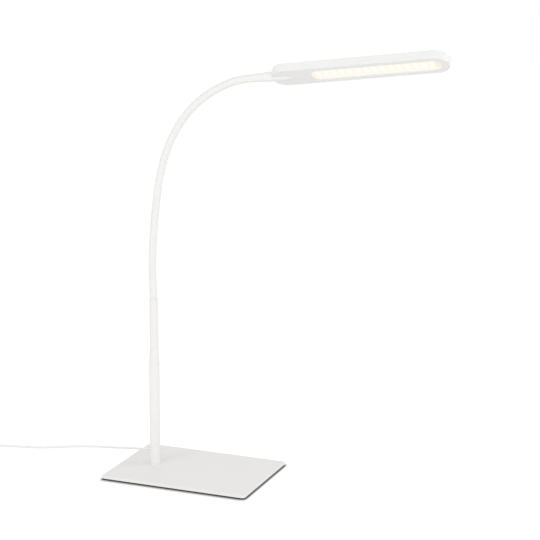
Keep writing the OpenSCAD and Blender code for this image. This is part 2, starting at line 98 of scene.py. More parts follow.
def rounded(points, steps=4, closed=True):
    # points are (across, up) or (across, up, radius); a corner with a radius becomes an arc
    out = []
    for i, point in enumerate(points):
        corner = Vector(point[:2])
        if len(point) < 3 or (not closed and i in (0, len(points) - 1)):
            out.append(corner)
            continue
        back = (Vector(points[i - 1][:2]) - corner).normalized()
        ahead = (Vector(points[(i + 1) % len(points)][:2]) - corner).normalized()
        half = acos(max(-1, min(1, back.dot(ahead)))) / 2
        reach = point[2] / tan(half)
        centre = corner + (back + ahead).normalized() * point[2] / sin(half)
        first, last = corner + back * reach - centre, corner + ahead * reach - centre
        start = atan2(first.y, first.x)
        sweep = (atan2(last.y, last.x) - start + pi) % (2 * pi) - pi
        for s in range(steps + 1):
            a = start + sweep * s / steps
            out.append(centre + Vector((cos(a), sin(a))) * point[2])
    return out


def hoops(profile, count=64):
    # one ring of points for each (radius, height) of a turned profile, or one point on the axis
    onAxis = 1e-6
    return [
        [Vector((r * cos(2 * pi * i / count), r * sin(2 * pi * i / count), z)) for i in range(count)]
        if r > onAxis else [Vector((0, 0, z))]
        for r, z in profile
    ]


def stadium(length, width, start, count=48):
    # outline with half-round ends; the returned function gives it at any inset and height
    def loop(inset, z):
        points = []
        for side, middle in ((90, start + width / 2), (-90, start + length - width / 2)):
            for i in range(count + 1):
                a = radians(side + 180 * i / count)
                r = width / 2 - inset
                points.append(Vector((middle + r * cos(a), r * sin(a), z)))
        return points
    return loop


def plateOutline(length, width, corner, count=8):
    # rectangle with round corners, centred on the origin
    def loop(inset, z):
        points = []
        for quarter, sx, sy in ((0, 1, 1), (90, -1, 1), (180, -1, -1), (270, 1, -1)):
            for i in range(count + 1):
                a = radians(quarter + 90 * i / count)
                r = corner - inset
                points.append(Vector((
                    sx * (length / 2 - corner) + r * cos(a), sy * (width / 2 - corner) + r * sin(a), z)))
        return points
    return loop


def stacked(loop, sections):
    return [loop(inset, z) for inset, z in sections]


def addForm(name, skins, place=Matrix.Identity(4)):
    # each skin is (loops, closed): loops of points joined by faces, capped at both ends unless closed
    form = bmesh.new()
    for loops, closed in skins:
        rows = [[form.verts.new(point * mm) for point in loop] for loop in loops]
        for a, b in zip(rows, rows[1:] + rows[:1] if closed else rows[1:]):
            n = max(len(a), len(b))
            for i in range(n):
                j = (i + 1) % n
                corners = (a[i % len(a)], a[j % len(a)], b[j % len(b)], b[i % len(b)])
                form.faces.new(list(dict.fromkeys(corners)))
        if not closed:
            for row in (rows[0], rows[-1]):
                if len(row) > 2:
                    form.faces.new(row)
    bmesh.ops.recalc_face_normals(form, faces=form.faces)
    mesh = bpy.data.meshes.new(name)
    form.to_mesh(mesh)
    form.free()
    piece = bpy.data.objects.new(name, mesh)
    piece.matrix_world = place
    scene.collection.objects.link(piece)
    return piece


def addPiece(name, skins, finish, slotName, place=Matrix.Identity(4)):
    piece = addForm(name, skins, place)
    piece.data.materials.append(finish)
    return piece


def addCutter(loops, place=Matrix.Identity(4)):
    return addForm("cutter", [(loops, False)], place)


def drill(radius, start, end, place=Matrix.Identity(4), count=48):
    # cutter for a round hole along Z; where the hole goes through, the ends just reach past the piece
    return addCutter(hoops([(0, start), (radius, start), (radius, end), (0, end)], count), place)


def subtract(piece, *cutters):
    # takes the cutters' volume out of the piece, for good, and removes them
    for cutter in cutters:
        change = piece.modifiers.new("cut", "BOOLEAN")
        change.operation = "DIFFERENCE"
        change.solver = "EXACT"
        change.object = cutter
    bpy.context.view_layer.update()
    view = piece.evaluated_get(bpy.context.evaluated_depsgraph_get())
    mesh = bpy.data.meshes.new_from_object(view)
    mesh.materials.clear()
    for finish in piece.data.materials:
        mesh.materials.append(finish)
    piece.modifiers.clear()
    piece.data = mesh
    for cutter in cutters:
        bpy.data.objects.remove(cutter)


def smooth(piece, angle=30):
    # smooth shading with crisp joints; flat faces stay flat
    for face in piece.data.polygons:
        face.use_smooth = True
    piece.data.set_sharp_from_angle(angle=radians(angle))
    if "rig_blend" not in piece:
        change = piece.modifiers.new("flatFaces", "WEIGHTED_NORMAL")
        change.keep_sharp = True
    return piece


# Materials
def linear(hexCode):
    channels = [int(hexCode[i:i + 2], 16) / 255 for i in (1, 3, 5)]
    return tuple(c / 12.92 if c <= 0.04045 else ((c + 0.055) / 1.055) ** 2.4 for c in channels) + (1,)


def blankMaterial(name):
    material = bpy.data.materials.new(name)
    material.use_nodes = True
    material.node_tree.nodes.clear()
    return material


def addNode(tree, kind, inputs, **settings):
    # inputs are by name or number, and each is a value or another node's output
    node = tree.nodes.new(kind)
    for name, value in settings.items():
        setattr(node, name, value)
    for name, value in inputs.items():
        if isinstance(value, bpy.types.NodeSocket):
            tree.links.new(value, node.inputs[name])
        else:
            node.inputs[name].default_value = value
    return node


def addFinish(name, shade, light, patch, rough, grain, depth, **fixed):
    # colour drifts between two shades over patches, roughness with it, and a fine grain lifts the surface.
    # patch and grain are the pattern's sizes and depth the grain's height, all in millimetres
    finish = blankMaterial(name)
    tree = finish.node_tree
    where = addNode(tree, "ShaderNodeTexCoord", {}).outputs["Object"]
    drift = addNode(tree, "ShaderNodeTexNoise", {"Vector": where, "Scale": 1 / (patch * mm), "Detail": 3.0})
    tint = addNode(tree, "ShaderNodeMix", {0: drift.outputs[0], 6: linear(shade), 7: linear(light)},
                   data_type="RGBA")
    gloss = addNode(tree, "ShaderNodeMapRange", {
        0: drift.outputs[0], 1: 0.3, 2: 0.7, 3: rough[0], 4: rough[1]})
    relief = addNode(tree, "ShaderNodeTexNoise", {"Vector": where, "Scale": 1 / (grain * mm), "Detail": 2.0})
    bump = addNode(tree, "ShaderNodeBump", {
        "Height": relief.outputs[0], "Distance": depth * mm, "Strength": 1.0})
    shader = addNode(tree, "ShaderNodeBsdfPrincipled", {
        "Base Color": tint.outputs[2], "Roughness": gloss.outputs[0], "Normal": bump.outputs[0], **fixed})
    addNode(tree, "ShaderNodeOutputMaterial", {"Surface": shader.outputs[0]})
    return finish


# epoxy-polyester powder coat on steel, baked: even white with a faint orange peel and a soft sheen
powderCoat = addFinish("powderCoatedSteel", "#E9E8E7", "#ECEBEA", 60, (0.36, 0.44), 1.6, 0.006, IOR=1.5)
# the same coat sprayed flat on the plate, where it levels out: a touch warmer and smoother, and a shade
# darker as painted shade on the plate's top
shadedPlateCoat = addFinish("powderCoatShadedPlate", "#E8E6E4", "#EBE9E7", 60, (0.34, 0.42), 2.2, 0.005, IOR=1.5)
# the same coat on the stem's tube, painted a shade lighter than on the plate: painted light for the tube's
# edges and its foot
litTubeCoat = addFinish("powderCoatLitTube", "#EBEAE9", "#EEEDEC", 40, (0.34, 0.42), 1.4, 0.005, IOR=1.5)
# ABS from a finely spark-eroded mould: matt white, softer reflections than the steel
mouldedAbs = addFinish("mouldedAbs", "#E9E9E8", "#ECECEB", 45, (0.42, 0.5), 0.5, 0.003, IOR=1.54)
# ABS for the bottom cover, etched finer and the dullest of the mouldings; painted a shade greyer than the
# shell, as shade on the head's downward face
shadedEtchedAbs = addFinish("shadedEtchedAbs", "#E6E5E5", "#E9E8E8", 45, (0.46, 0.54), 0.6, 0.004, IOR=1.54)
# ABS from a polished mould: the same white with a clear gloss
polishedAbs = addFinish("polishedAbs", "#E6E6E5", "#E9E9E8", 30, (0.16, 0.22), 1.2, 0.001, IOR=1.54)
# silicone tube, extruded: dry matt white with faint marks from handling
silicone = addFinish("extrudedSilicone", "#E8E8E6", "#EBEBEA", 14, (0.5, 0.6), 0.7, 0.004, IOR=1.41)
# soft PVC, extruded over the wires: satin white
softPvc = addFinish("extrudedPvc", "#E9E9E7", "#EDEDEB", 20, (0.36, 0.44), 0.8, 0.003, IOR=1.53)
# closed-cell EVA foam, skived: dark grey, dull, with cells that show on its edge
foam = addFinish("cellularFoam", "#2E2E2F", "#3A3A3B", 3, (0.85, 0.95), 0.5, 0.08, IOR=1.45)
# zinc plate on turned steel: bright grey, a little cloudy
zincPlate = addFinish("zincPlatedSteel", "#B4B7B6", "#C6C8C6", 4, (0.26, 0.38), 0.8, 0.004, Metallic=1.0)
# wound spring-steel hose, oiled: darker than the plated parts and a touch duller
hoseSteel = addFinish("woundSteel", "#8E8E8C", "#A9A9A6", 3, (0.3, 0.42), 0.6, 0.004, Metallic=1.0)
# aluminium sheet as rolled: pale grey with a soft shine
sheetAluminium = addFinish(
    "rolledAluminium", "#C3C5C7", "#CFD1D2", 6, (0.32, 0.42), 0.4, 0.003, Metallic=1.0)
# white solder mask, printed on an aluminium strip: smooth and slightly creamy
whiteMask = addFinish("whiteSolderMask", "#E4E3DE", "#ECEBE6", 8, (0.28, 0.36), 0.5, 0.004, IOR=1.52)
# silicone filled with phosphor, cast over each LED: soft yellow with a satin face
phosphor = addFinish("phosphorSilicone", "#E3C85A", "#EFDC7E", 1.5, (0.3, 0.4), 0.4, 0.004, IOR=1.41)
# green solder mask, printed on glass fibre board: dark green with a satin face
greenMask = addFinish("greenSolderMask", "#1F5535", "#2A6A43", 5, (0.3, 0.4), 0.7, 0.006, IOR=1.52)
# epoxy, moulded round the chips: dull black
blackEpoxy = addFinish("mouldedEpoxy", "#222225", "#2C2C2F", 2, (0.5, 0.62), 0.3, 0.004, IOR=1.55)
# brass spring wire, drawn: golden and bright
drawnBrass = addFinish("drawnBrass", "#CFA85A", "#DDBA70", 2, (0.22, 0.32), 0.4, 0.002, Metallic=1.0)
# coloured PVC, extruded over the wires in the head: plain red, nearly matt
redPvc = addFinish("colouredPvc", "#A82A22", "#B8352C", 3, (0.4, 0.5), 0.5, 0.003, IOR=1.53)
# nylon strap, moulded: off-white and a little waxy
mouldedNylon = addFinish("mouldedNylon", "#E2E2DF", "#E9E9E6", 5, (0.38, 0.46), 0.5, 0.006, IOR=1.53)
# brass pins, turned and nickel plated: warm bright grey with clear reflections
nickelPlate = addFinish(
    "nickelPlatedBrass", "#C9C6BE", "#D4D1CA", 3, (0.16, 0.24), 0.6, 0.001, Metallic=1.0)
print("materials made")

# Cord: from the stem's foot over the table to the coil and the adapter
cord = {
    "diameter": 2.4,
    "length": 1.80,       # metres
    "coilMiddle": (-238, -28),
    "coilRadius": 13.75,  # at the middle of its turns
    "coilFoot": 1.7,      # centre of the lowest turns above the table
    "coilStart": 90,      # degrees round the coil
    "turns": 17.5,
    "turnsWide": 3,       # side by side in a layer
    "climb": 6,           # parts of a turn; the lead climbs to the next layer in the last of them
    "run": [
        (-11.0, 0, 21.5), (-15, 0.2, 20.6), (-20, 2.2, 19.3), (-27, 6.8, 17.4), (-36, 13.2, 14.7),
        (-46, 20.2, 11.4), (-57, 27.4, 7.9), (-68, 34, 4.8), (-79, 38.8, 2.4), (-91, 40, 1.2),
        (-102, 37, 1.2), (-113, 33, 1.2), (-124, 28, 1.2), (-134, 22.8, 1.2), (-145, 16, 1.2),
        (-156, 10.4, 1.2), (-167, 6.4, 1.2), (-179, 3.4, 1.2), (-191, 1, 1.2), (-203, -2, 1.2),
        (-215, -5.6, 1.2), (-226, -9, 1.4), (-238, -10.7, 1.7)],
    "tail": [
        (-238, -44.1, 13.7), (-231.5, -43.8, 13.5), (-225, -44, 13.1), (-219.5, -45.5, 12.8),
        (-215.5, -49.5, 12.8), (-214, -55, 13.2), (-214, -60, 13.5)],
    "inside": [(-214, -60, 13.5), (-214, -93.5, 13.5)],  # through the adapter's strain relief to its board
    # how many points are drawn from one of the points above to the next, and in a turn of the coil
    "steps": 4, "insideSteps": 6, "turnSteps": 36,
}


def bowed(a, b, c, d, t):
    return 0.5 * (2 * b + (c - a) * t + (2 * a - 5 * b + 4 * c - d) * t * t
                  + (3 * b - a - 3 * c + d) * t * t * t)


def eased(points, steps):
    # a smooth line through the points
    p = [Vector(point) for point in points]
    out = [
        bowed(p[max(i - 1, 0)], p[i], p[i + 1], p[min(i + 2, len(p) - 1)], s / steps)
        for i in range(len(p) - 1) for s in range(steps)
    ]
    return out + [p[-1]]


def coilPoint(turn):
    # layers wind inwards and outwards by turns, and the lead climbs at the end of each
    step, wide, share = cord["diameter"], cord["turnsWide"], cord["climb"]
    layer = floor(turn / wide)
    done = turn - layer * wide
    outer = cord["coilRadius"] + wide * step / 2
    radius = outer - step * (done if layer % 2 == 0 else wide - done)
    climbed = max(0, done - wide + 1 / share) * share
    height = cord["coilFoot"] + step * (layer + climbed * climbed * (3 - 2 * climbed))
    angle = radians(cord["coilStart"] + 360 * turn)
    middle = cord["coilMiddle"]
    return Vector((middle[0] + radius * cos(angle), middle[1] + radius * sin(angle), height))


coilPoints = [coilPoint(i / cord["turnSteps"]) for i in range(1, int(cord["turns"] * cord["turnSteps"]))]
cordPoints = (eased(cord["run"], cord["steps"]) + coilPoints + eased(cord["tail"], cord["steps"])
              + eased(cord["inside"], cord["insideSteps"])[1:])
cordCurve = bpy.data.curves.new("cord", "CURVE")
cordCurve.dimensions = "3D"
cordCurve.bevel_depth = cord["diameter"] / 2 * mm
cordCurve.bevel_resolution = 4
cordCurve.use_fill_caps = True
line = cordCurve.splines.new("POLY")
line.points.add(len(cordPoints) - 1)
for linePoint, point in zip(line.points, cordPoints):
    linePoint.co = (*(point * mm), 1)
line.use_smooth = True
cordCurve.materials.append(softPvc)
cordPiece = bpy.data.objects.new("cord", cordCurve)
scene.collection.objects.link(cordPiece)
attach(cordPiece, "base")
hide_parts("cord_run", "cord_coil", "cord_tail")
print("cord laid,", len(cordPoints), "points")

# Strap round the coil: a band that follows the bundle's section over a short arc
tie = {
    "start": 200,  # degrees round the coil
    "width": 6, "thickness": 0.5, "bundleWide": 9.8, "bundleHigh": 14.5, "corner": 1.2,
    "steps": 6, "cornerSteps": 5,
}
tieSpan = tie["width"] * 180 / pi / cord["coilRadius"]
tieLoops = {"outer": [], "inner": []}
for i in range(tie["steps"] + 1):
    a = radians(tie["start"] + tieSpan * i / tie["steps"])
    for skin, grow in (("outer", tie["thickness"]), ("inner", 0)):
        w, bend = tie["bundleWide"] / 2 + grow, tie["corner"] + grow
        low, high = tie["thickness"] - grow, tie["thickness"] + tie["bundleHigh"] + grow
        section = rounded([(-w, low, bend), (w, low, bend), (w, high, bend), (-w, high, bend)],
                          tie["cornerSteps"])
        tieLoops[skin].append([
            Vector((cord["coilMiddle"][0] + (cord["coilRadius"] + p.x) * cos(a),
                    cord["coilMiddle"][1] + (cord["coilRadius"] + p.x) * sin(a), p.y)) for p in section])
cordTie = addPiece("cord_tie_band", [(tieLoops["outer"] + tieLoops["inner"][::-1], True)],
                   mouldedNylon, "tie_plastic")
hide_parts("cord_tie")

# Adapter: its own Z runs from the back, where the lead goes in, to the face with the pins
adapter = {
    "backMiddle": (-214, -80), "length": 52, "width": 36, "height": 27, "corner": 4,
    "capInset": 3.9,  # from the outline to the flat that closes each end
    "wall": 1.8, "edge": 1.2, "faceThickness": 2.5, "faceLip": 2, "faceEdge": 0.8,
    "reliefLength": 20, "reliefRadius": 4, "reliefTip": 2.0, "reliefBore": 1.25,
    "reliefHold": 1.5,  # how far the relief goes on past the wall, inside
    "ribs": 6, "ribsRoom": 3, "firstRib": 1.4,
    "rib": ((0, 0), (-0.45, 0.5), (-0.4, 1.1), (0.15, 1.6)),  # (outwards, along) of its corners
    "pinPitch": 19, "pinLength": 19, "pinRadius": 2, "pinRoot": 6, "stemRadius": 1.5,
    "sleeveLength": 10, "sleeveGap": 0.3,
}
adapterPlace = (shifted(adapter["backMiddle"][0], adapter["backMiddle"][1], adapter["height"] / 2)
                @ turned(90, "X"))
caseOutline = plateOutline(adapter["width"], adapter["height"], adapter["corner"])
caseEnd = adapter["length"] - adapter["faceThickness"]
caseWall, caseCap = adapter["wall"], adapter["capInset"]
caseSections = rounded([
    (caseCap, 0), (0, 0, adapter["edge"]), (0, caseEnd, soft), (caseWall, caseEnd),
    (caseWall, caseWall), (caseCap, caseWall)], closed=False)
adapterCase = addPiece("adapter_case_shell", [(stacked(caseOutline, caseSections), False)],
                       mouldedAbs, "adapter_plastic", adapterPlace)
subtract(adapterCase, drill(adapter["reliefRadius"] + fit, -1, 3, adapterPlace, 64))

lipFoot = caseEnd - adapter["faceLip"]
faceSections = rounded([
    (caseCap, lipFoot), (caseWall + fit, lipFoot), (caseWall + fit, caseEnd), (0, caseEnd, soft),
    (0, adapter["length"], adapter["faceEdge"]), (caseCap, adapter["length"])], closed=False)
adapterFace = addPiece("adapter_face_plate", [(stacked(caseOutline, faceSections), False)],
                       mouldedAbs, "adapter_plastic", adapterPlace)
subtract(adapterFace, *[
    drill(adapter["stemRadius"] + fit, lipFoot - 2, adapter["length"] + 8,
          adapterPlace @ shifted(side * adapter["pinPitch"] / 2, 0, 0), 32)
    for side in (-1, 1)])

reliefFoot, reliefTop = -adapter["reliefLength"], caseWall + adapter["reliefHold"]
reliefBore, reliefTip = adapter["reliefBore"], adapter["reliefTip"]
ribStep = (adapter["reliefLength"] - adapter["ribsRoom"]) / adapter["ribs"]
reliefProfile = [(reliefBore, reliefFoot), (reliefTip, reliefFoot, soft)]
for i in range(adapter["ribs"]):
    z = reliefFoot + adapter["firstRib"] + i * ribStep
    r = reliefTip + (z - reliefFoot) / adapter["reliefLength"] * (adapter["reliefRadius"] - reliefTip)
    reliefProfile += [(r + outwards, z + along, fine) for outwards, along in adapter["rib"]]
reliefProfile += [(adapter["reliefRadius"], 0), (adapter["reliefRadius"], reliefTop),
                  (reliefBore, reliefTop)]
adapterRelief = addPiece("adapter_strain_relief", [(hoops(rounded(reliefProfile), 40), True)],
                         softPvc, "lead_sheath", adapterPlace)

# each pin is a thin stem inside an insulating sleeve, with a round-ended tip as thick as the sleeve
pinStem, pinTip, pinEnd = adapter["stemRadius"], adapter["pinRadius"], adapter["pinLength"]
sleeveFoot, sleeveEnd = adapter["sleeveGap"], adapter["sleeveLength"]
pinProfile = rounded([
    (0, -adapter["pinRoot"]), (pinStem, -adapter["pinRoot"]), (pinStem, sleeveEnd),
    (pinTip, sleeveEnd, crisp), (pinTip, pinEnd, pinTip - 0.01), (0, pinEnd)], 8, False)
sleeveProfile = rounded([
    (pinStem, sleeveFoot), (pinTip, sleeveFoot), (pinTip, sleeveEnd), (pinStem, sleeveEnd)])
pinSkins, sleeveSkins = [], []
for side in (-1, 1):
    pinFoot = Vector((side * adapter["pinPitch"] / 2, 0, adapter["length"]))
    for profile, skins, closed in ((pinProfile, pinSkins, False), (sleeveProfile, sleeveSkins, True)):
        skins.append(([[p + pinFoot for p in ring] for ring in hoops(profile, 32)], closed))
adapterPins = addPiece("adapter_contact_pins", pinSkins, nickelPlate, "pin_brass", adapterPlace)
pinSleeves = addPiece("adapter_pin_sleeves", sleeveSkins, mouldedAbs, "adapter_plastic", adapterPlace)
for piece, replaced in ((adapterCase, "adapter_case"), (adapterFace, "adapter_face"),
                        (adapterRelief, "adapter_relief"), (adapterPins, "adapter_pins")):
    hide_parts(replaced)
for piece in (cordTie, adapterCase, adapterFace, adapterRelief, adapterPins, pinSleeves):
    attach(smooth(piece), "base")
print("adapter made")

# Base: steel plate on a foam pad, both open for the countersunk screw that holds the stem
base = {
    "length": 180, "width": 130, "thickness": 3, "corner": 4, "edge": 0.6, "stemInset": 39,
    "capInset": 3.4,  # from the outline to the flat that closes each face
    "pad": 1.5, "padInset": 0.4,
    "padHole": 1.5,   # how much wider than the screw's head the pad's hole is
    "screwHole": 3.2, "screwHead": 5.85, "headRise": 2.8, "cutTop": 8,
}
plateCentre = base["length"] / 2 - base["stemInset"]
plateMiddle = shifted(plateCentre, 0, 0)
plateOutlineAt = plateOutline(base["length"], base["width"], base["corner"])
padTop, plateCap = base["pad"], base["capInset"]
plateTop = padTop + base["thickness"]
plateSections = rounded([
    (plateCap, padTop), (0, padTop, fine), (0, plateTop, base["edge"]), (plateCap, plateTop)], 5, False)
basePlate = addPiece("base_plate_coated", [(stacked(plateOutlineAt, plateSections), False)],
                     shadedPlateCoat, "steel_painted", plateMiddle)
subtract(basePlate, addCutter(hoops([
    (0, 0), (base["screwHead"], 0), (base["screwHead"], padTop),
    (base["screwHole"], padTop + base["headRise"]), (base["screwHole"], base["cutTop"]),
    (0, base["cutTop"])], 48)))
padSections = rounded([
    (plateCap, 0), (base["padInset"], 0, soft), (base["padInset"], padTop), (plateCap, padTop)], 3, False)
basePad = addPiece("base_pad_foam", [(stacked(plateOutlineAt, padSections), False)],
                   foam, "foam_pad", plateMiddle)
subtract(basePad, drill(base["screwHead"] + base["padHole"], -1, 3))
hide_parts("base_plate")
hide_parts("base_pad")

# Stem: tube, cone collar and the ferrule that holds the neck
stem = {
    "radius": 6.15, "bore": 5.15, "length": 121,
    "collarLength": 21, "collarLip": 0.15, "collarRing": 0.9, "collarEdge": 0.35,
    "ferruleRadius": 5.15, "ferruleLength": 58.5, "ferruleEdge": 0.25,
    "threadRadius": 3.5, "tail": 10.5, "leadBore": 1.6, "neckCup": 4.6, "cupDepth": 5, "cupEdge": 0.15,
}
# Bush where the lead comes out of the tube; its own Z points out of the stem, from the stem's axis
outlet = {
    "height": 21.5, "bore": 1.25, "root": 5.1, "radius": 2, "waistStart": 6.5, "waist": 0.25,
    "ringStart": 8, "ringEnd": 9, "ringRadius": 2.35, "ringEdge": 0.25,
    "noseFoot": 1.8, "noseRadius": 1.5, "noseEdge": 0.15,
    "length": 4.85,  # from the tube's outside
}
stemTop = plateTop + stem["length"]
collarTop = stemTop + stem["collarLength"]
ferruleTop = collarTop + stem["ferruleLength"]
outletPlace = shifted(0, 0, outlet["height"]) @ turned(-90, "Y")
stemTube = addPiece("stem_tube_coated", [(hoops(rounded([
    (stem["bore"], plateTop), (stem["radius"], plateTop), (stem["radius"], stemTop, fine),
    (stem["bore"], stemTop)]), 96), True)], litTubeCoat, "steel_painted")
subtract(stemTube, drill(outlet["radius"] + fit, 1, 9, outletPlace, 32))

thread, leadBore, threadFoot = stem["threadRadius"], stem["leadBore"], -stem["tail"]
collarFoot, collarLength = stem["radius"] + stem["collarLip"], stem["collarLength"]
socket = collarLength - stem["tail"] - 1  # floor of the hole for the ferrule's thread, with 1 mm to spare
stemCollar = addPiece("stem_collar_coated", [(hoops(rounded([
    (leadBore, threadFoot), (thread, threadFoot), (thread, 0), (collarFoot, 0, stem["collarEdge"]),
    (collarFoot, stem["collarRing"], soft), (stem["ferruleRadius"] + fit, collarLength, soft),
    (thread + fit, collarLength), (thread + fit, socket), (leadBore, socket)]), 96), True)],
    powderCoat, "steel_painted", shifted(0, 0, stemTop))

ferruleRadius, ferruleLength = stem["ferruleRadius"], stem["ferruleLength"]
cup, cupFloor = stem["neckCup"], ferruleLength - stem["cupDepth"]
lowerFerrule = addPiece("lower_ferrule_coated", [(hoops(rounded([
    (leadBore, threadFoot), (thread, threadFoot), (thread, 0), (ferruleRadius, 0, soft),
    (ferruleRadius, ferruleLength, stem["ferruleEdge"]), (cup, ferruleLength, stem["cupEdge"]),
    (cup, cupFloor), (leadBore, cupFloor)]), 96), True)],
    powderCoat, "steel_painted", shifted(0, 0, collarTop))

outletBore, outletRoot, outletRadius = outlet["bore"], outlet["root"], outlet["radius"]
outletTip = stem["radius"] + outlet["length"]
leadOutlet = addPiece("lead_outlet_bush", [(hoops(rounded([
    (outletBore, outletRoot), (outletRadius, outletRoot), (outletRadius, outlet["waistStart"], crisp),
    (outletRadius - outlet["waist"], outlet["ringStart"], crisp),
    (outlet["ringRadius"], outlet["ringStart"], outlet["ringEdge"]),
    (outlet["ringRadius"], outlet["ringEnd"], outlet["ringEdge"]),
    (outlet["noseFoot"], outlet["ringEnd"], crisp),
    (outlet["noseRadius"], outletTip, outlet["noseEdge"]), (outletBore, outletTip)]), 48), True)],
    softPvc, "lead_sheath", outletPlace)
for piece, replaced in ((stemTube, "stem_tube"), (stemCollar, "stem_collar"),
                        (lowerFerrule, "lower_ferrule"), (leadOutlet, "lead_outlet")):
    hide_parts(replaced)
for piece in (basePlate, basePad, stemTube, stemCollar, lowerFerrule, leadOutlet):
    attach(smooth(piece), "base")
print("base and stem made")

# Neck: a sleeve and a hose over each hinge, each bending from the body before it to the one after
neck = {
    "radius": 4.4, "wall": 0.8, "hoseRadius": 2.5, "hoseBore": 1.4, "ridge": 0.25, "ridgePitch": 2.4,
    "lowerLink": 34, "lowerLinks": 5, "upperLink": 22.2, "upperLinks": 6, "tipLink": 15.6, "spigot": 4.8,
    "lean": -2.9, "bends": [5.2, 3.2, 1.8, 6.8, 9.7, 7.3, 8.5, 10.8, 9.5, 8.5, 14.7],  # degrees
    "foot": 1,    # first bend's height above the lower ferrule
    "cupped": 3,  # how far the neck starts below the ferrule's top
    "held": 1,    # how far below it the neck starts to bend
    "sides": 40, "fewestSteps": 8, "ridgeSteps": 3,
}
links = neck["lowerLinks"] + neck["upperLinks"] + 1
linkLengths = ([neck["lowerLink"]] * neck["lowerLinks"] + [neck["upperLink"]] * neck["upperLinks"]
               + [neck["tipLink"]])
pivots, leans = [Vector((0, 0, ferruleTop + neck["foot"]))], [neck["lean"]]
for k in range(links):
    a = radians(leans[k])
    pivots.append(pivots[k] + Vector((sin(a), 0, cos(a))) * linkLengths[k])
    leans.append(leans[k] + neck["bends"][k] if k < links - 1 else leans[k])
middles = [(pivots[k] + pivots[k + 1]) / 2 for k in range(links)]


def bentTube(name, stations, radius, bore, ridge, finish, slotName):
    # hollow tube along a smooth bend from the first station to the last, drawn towards the middle one
    a, b, c = stations
    sides, ridgeSteps = neck["sides"], neck["ridgeSteps"]
    steps = max(neck["fewestSteps"], round((c - a).length / neck["ridgePitch"]) * ridgeSteps)
    outer, inner = [], []
    for i in range(steps + 1):
        t = i / steps
        centre = a * (1 - t) ** 2 + b * 2 * t * (1 - t) + c * t * t
        along = ((b - a) * (1 - t) + (c - b) * t).normalized()
        side = Vector((0, 1, 0))
        up = along.cross(side)
        swell = radius - (ridge if i % ridgeSteps == 1 else 0)
        for ring, r in ((outer, swell), (inner, bore)):
            ring.append([centre + (side * cos(2 * pi * j / sides) + up * sin(2 * pi * j / sides)) * r
                         for j in range(sides)])
    return addPiece(name, [(outer + inner[::-1], True)], finish, slotName)


bodies = ["base"] + ["neck_%02d" % (k + 1) for k in range(links)]
tipFoot = pivots[links]
tipHold = tipFoot + (pivots[links - 1] - tipFoot).normalized() * neck["spigot"]
for k in range(links):
    last = k == links - 1
    start = Vector((0, 0, ferruleTop - neck["cupped"])) if k == 0 else middles[k - 1]
    holdFrom = Vector((0, 0, ferruleTop - neck["held"])) if k == 0 else middles[k - 1]
    for kind, radius, bore, ridge, end, finish, slotName in (
            ("neck_sleeve", neck["radius"], neck["radius"] - neck["wall"], 0,
             tipFoot if last else middles[k], silicone, "neck_sleeve"),
            ("neck_hose", neck["hoseRadius"], neck["hoseBore"], neck["ridge"],
             tipHold if last else middles[k], hoseSteel, "hose_steel")):
        number = "_%02d" % (k + 1)
        tube = bentTube(kind + "_bend" + number, (start, pivots[k], end),
                        radius, bore, ridge, finish, slotName)
        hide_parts(kind + number)
        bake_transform(tube, bodies[k], bodies[k + 1],
                 start=holdFrom * mm, end=(tipHold if last else middles[k]) * mm)
        smooth(tube, 50)
print("neck made,", links, "bends")

# Swivel and head: the head's own X runs along it from the neck, and its Z up from the bottom cover
head = {
    "length": 201.5, "width": 30.6, "thickness": 10.1, "wall": 1.4, "roof": 1.4, "edge": 1.0, "rim": 0.35,
    "capInset": 8,      # from the outline to the flat that closes each face
    "roll": 35,         # degrees
    "axisHeight": 3.8, "tipLength": 14.5, "tipTaper": 0.45, "gap": 0.2,
    "bossRadius": 5.35, "bossOut": 9.6, "bossIn": 25, "bossTaper": 9.7,
    "bossPoint": 0.03,  # added to the axis's height for the radius of the boss's end
    "studRadius": 2.6, "studBore": 1.5, "studHold": 9, "studEnd": 3, "leadStart": 11, "leadEnd": 40,
    "pocketRadius": 3.9, "pocketStart": 2, "pocketLength": 10,
    "windowStart": 46, "windowLength": 147.5, "windowWidth": 17.6, "windowEdge": 0.7,
    "cover": 1.5, "coverGap": 0.1, "coverEdge": 0.12, "coverEdgeTop": 0.5,
    "diffuser": 1.2, "lap": 1.2, "ledStart": 8, "ledPitch": 9.2, "ledCount": 15,
    "keyAt": 36.15, "keyRadius": 4, "keyGap": 0.1, "keyFlange": 0.8, "keyFlangeWide": 1,
    "keyEdge": 0.35, "keySunk": 0.1, "keyDish": 0.3,
    "keyDishShare": 0.82,  # of the key's radius
    "keyDishSteps": 6,
}

# Light in the window: each LED shows as a white patch, warmer between and past the row's ends
glow = {
    "spot": "#DBD9D8", "between": "#DAD1BF", "start": "#D9CEBD", "end": "#D5C1AF", "edge": "#DAD6CD",
    "body": "#8E8C86",        # the plastic's own colour, under the light
    "level": 1.0, "roughness": 0.5, "ior": 1.58, "grain": 0.6, "grainDepth": 0.01,
    "spotLength": 4.6, "lengthBlur": 4.0, "spotWidth": 11, "widthBlur": 4.0,
    "offCentre": -1.2,        # of the patches across the window
    "edgeStart": 4, "edgeFull": 7.5,  # across, of the paler strip along one edge
}


